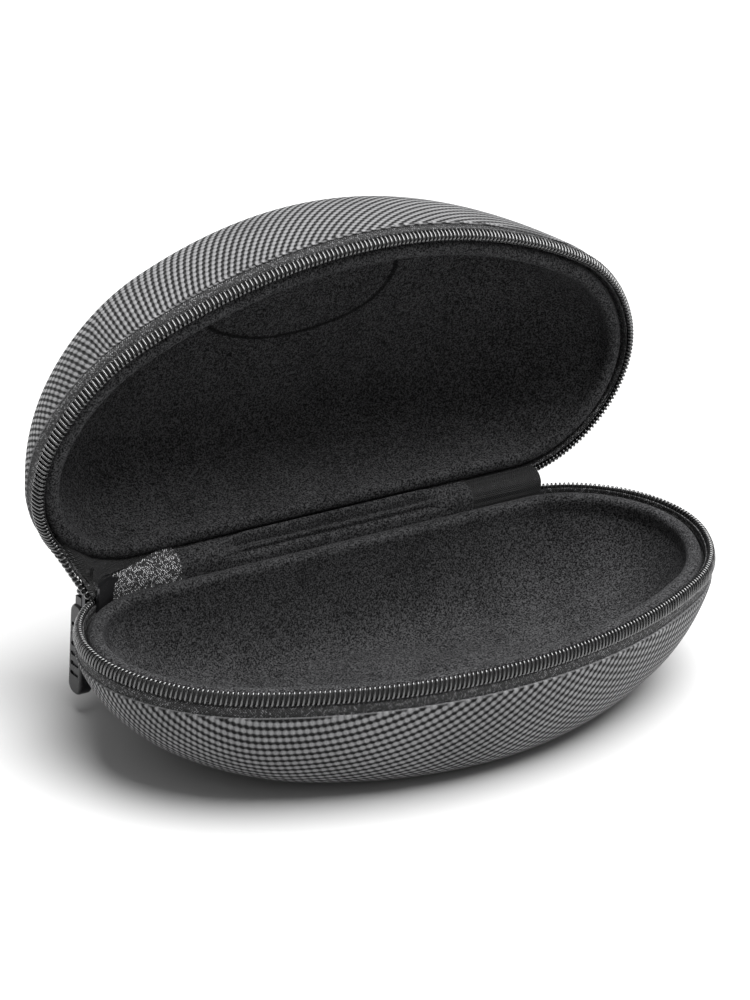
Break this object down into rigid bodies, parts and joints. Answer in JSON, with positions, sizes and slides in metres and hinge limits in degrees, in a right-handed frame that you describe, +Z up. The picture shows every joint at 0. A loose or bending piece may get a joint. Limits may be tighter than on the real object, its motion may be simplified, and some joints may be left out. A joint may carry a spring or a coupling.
{
  "type": "eyeglasses case",
  "caption": "Semi-hard clamshell eyeglasses case under black woven cloth, lined, hinged along the back and closed by a coil zip with a sliding, swinging pull.",
  "frame": {"origin": "centre of the base's flat foot, on the surface that it stands on", "axes": "+X along the hinge, away from the end where the slider is parked; front at -Y; +Z up"},
  "size_m": [0.164, 0.1078, 0.1078],
  "materials": {
    "woven_cover": "black ballistic weave, slightly glossy yarn",
    "foam_core": "closed-cell foam, felt black",
    "brushed_lining": "black brushed knit, matt",
    "zip_tape": "black herringbone tape",
    "nylon_coil": "black moulded monofilament",
    "sewing_thread": "black polyester thread",
    "dark_metal": "gunmetal enamel, bright at its edges",
    "soft_grip": "black moulded, glossy"
  },
  "bodies": {
    "base": {"base_cover": "woven_cover", "base_core": "foam_core", "base_lining": "brushed_lining", "base_zip_tape": "zip_tape", "base_zip_coil": "nylon_coil", "base_coil_cord": "sewing_thread", "base_seam_thread": "sewing_thread", "base_top_stop": "dark_metal", "zip_bottom_stop": "dark_metal", "zip_coil_joined_run": "nylon_coil", "hinge_outer_strip": "woven_cover", "hinge_lining_strip": "brushed_lining", "zip_tail_left": "zip_tape", "zip_tail_right": "zip_tape"},
    "lid": {"lid_cover": "woven_cover", "lid_core": "foam_core", "lid_lining": "brushed_lining", "lid_zip_tape": "zip_tape", "lid_zip_coil": "nylon_coil", "lid_coil_cord": "sewing_thread", "lid_seam_thread": "sewing_thread", "lid_top_stop": "dark_metal"},
    "slider": {"slider_body": "dark_metal", "slider_crown": "dark_metal"},
    "pull": {"pull_loop": "dark_metal", "pull_grip": "soft_grip"}
  },
  "joints": [
    {"name": "lid_hinge", "type": "hinge", "parent": "base", "child": "lid", "pos_m": [0, 0.03451, 0.03081], "axis": [-1, 0, 0], "range_deg": [-79.3, 5.7], "deforming": ["hinge_outer_strip", "hinge_lining_strip", "zip_tail_left", "zip_tail_right", "zip_coil_joined_run"]},
    {"name": "slider_travel", "type": "hinge", "parent": "base", "child": "slider", "pos_m": [-0.05284, 0.00485, 0.03081], "axis": [0, 0, 1], "range_deg": [0, 76]},
    {"name": "pull_swing", "type": "hinge", "parent": "slider", "child": "pull", "pos_m": [-0.06628, 0.03433, 0.03081], "axis": [0.91, 0.4147, 0], "range_deg": [0, 85]}
  ]
}
